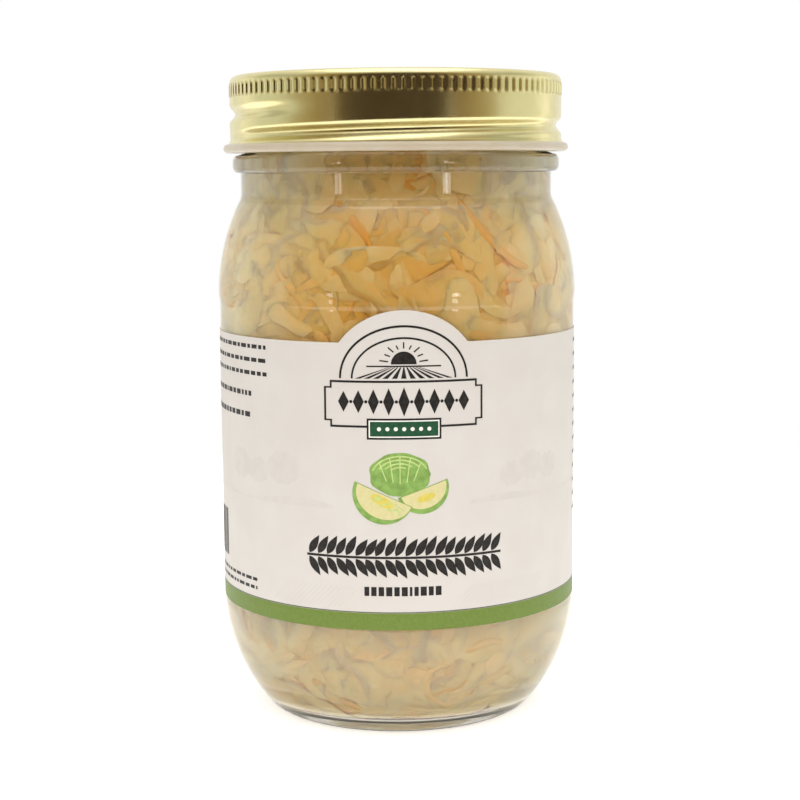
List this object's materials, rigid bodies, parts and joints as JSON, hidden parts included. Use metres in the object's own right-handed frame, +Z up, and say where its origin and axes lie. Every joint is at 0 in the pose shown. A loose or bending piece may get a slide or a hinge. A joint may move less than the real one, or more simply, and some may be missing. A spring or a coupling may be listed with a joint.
{
  "type": "jar of sauerkraut",
  "caption": "Round glass pint jar packed with shredded sauerkraut, closed by a gold screw cap with a knurled edge and wrapped in a plain paper label with a domed tab.",
  "frame": {"origin": "centre of the jar's base, on the surface it stands on", "axes": "+Z up along the jar's axis, the label's front facing -Y, +X to its right"},
  "size_m": [0.0788, 0.0788, 0.139],
  "materials": {
    "glass": "clear moulded flint glass",
    "cap": "gold-lacquered tinplate, satin gloss",
    "paper": "coated white label paper, printed in greens",
    "kraut": "wet, translucent shredded cabbage in brine"
  },
  "bodies": {
    "root": {"jar": "glass", "cap": "cap", "label": "paper", "sauerkraut": "kraut"}
  },
  "joints": []
}
